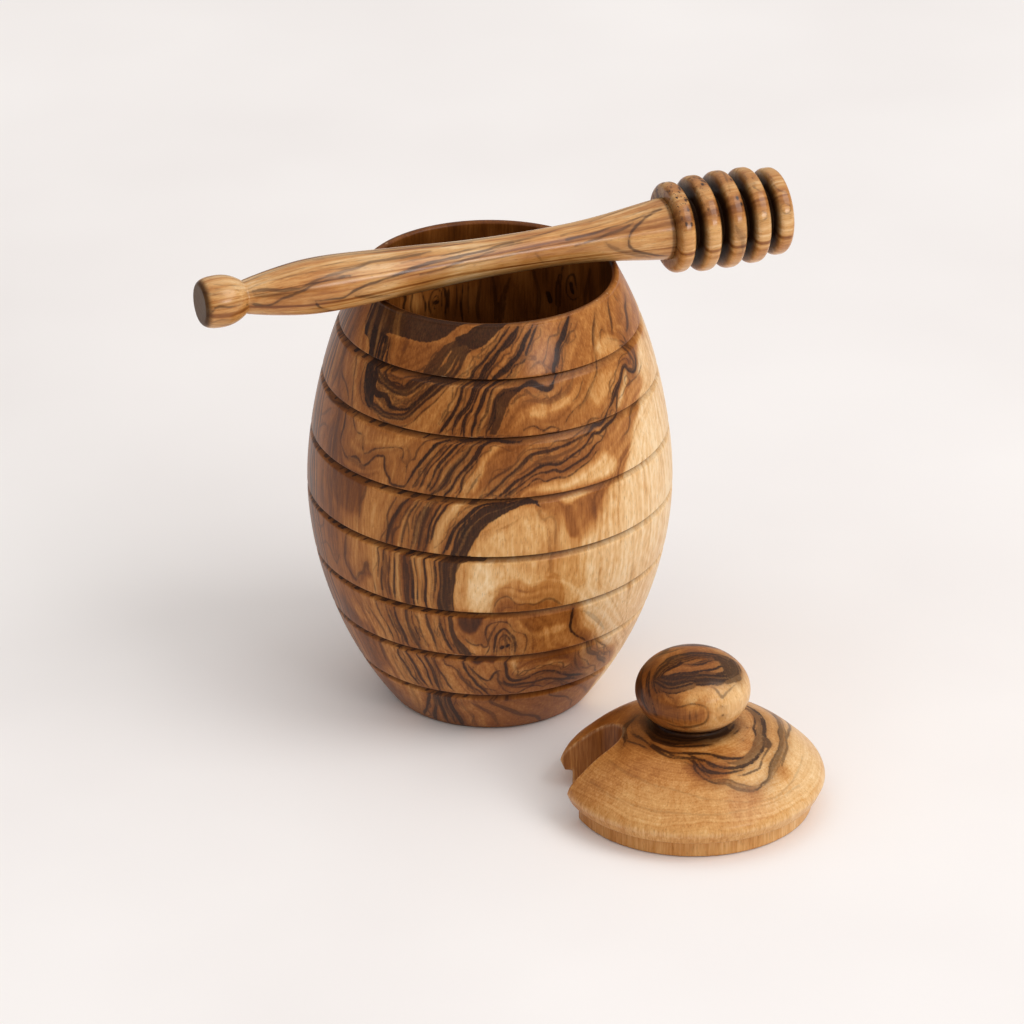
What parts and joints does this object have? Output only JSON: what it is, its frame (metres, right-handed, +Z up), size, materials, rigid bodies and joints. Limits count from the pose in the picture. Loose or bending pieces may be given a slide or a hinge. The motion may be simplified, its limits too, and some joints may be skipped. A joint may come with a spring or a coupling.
{
  "type": "honey pot",
  "caption": "Turned wooden honey pot with stepped bands, a knob lid with a slot for a handle, and a honey dipper laid across its open mouth.",
  "frame": {"origin": "centre of the pot's flat base, on the surface that it stands on", "axes": "+Z up along the pot's turning axis, +Y away from the viewer, +X to the viewer's right"},
  "size_m": [0.1618, 0.1468, 0.1396],
  "materials": {
    "pot_wood": "oiled satin olive wood, dark figure",
    "lid_wood": "oiled satin olive wood, pale with a dark heart",
    "dipper_wood": "oiled satin olive wood, fine long grain"
  },
  "bodies": {
    "pot": {"pot_body": "pot_wood"},
    "lid": {"lid": "lid_wood"},
    "dipper": {"dipper": "dipper_wood"}
  },
  "joints": [
    {"name": "lid_lift", "type": "slide", "parent": "pot", "child": "lid", "axis": [0, 0, 1], "range_m": [0, 0.18]},
    {"name": "dipper_lift", "type": "slide", "parent": "pot", "child": "dipper", "axis": [0, 0, 1], "range_m": [0, 0.12]}
  ]
}
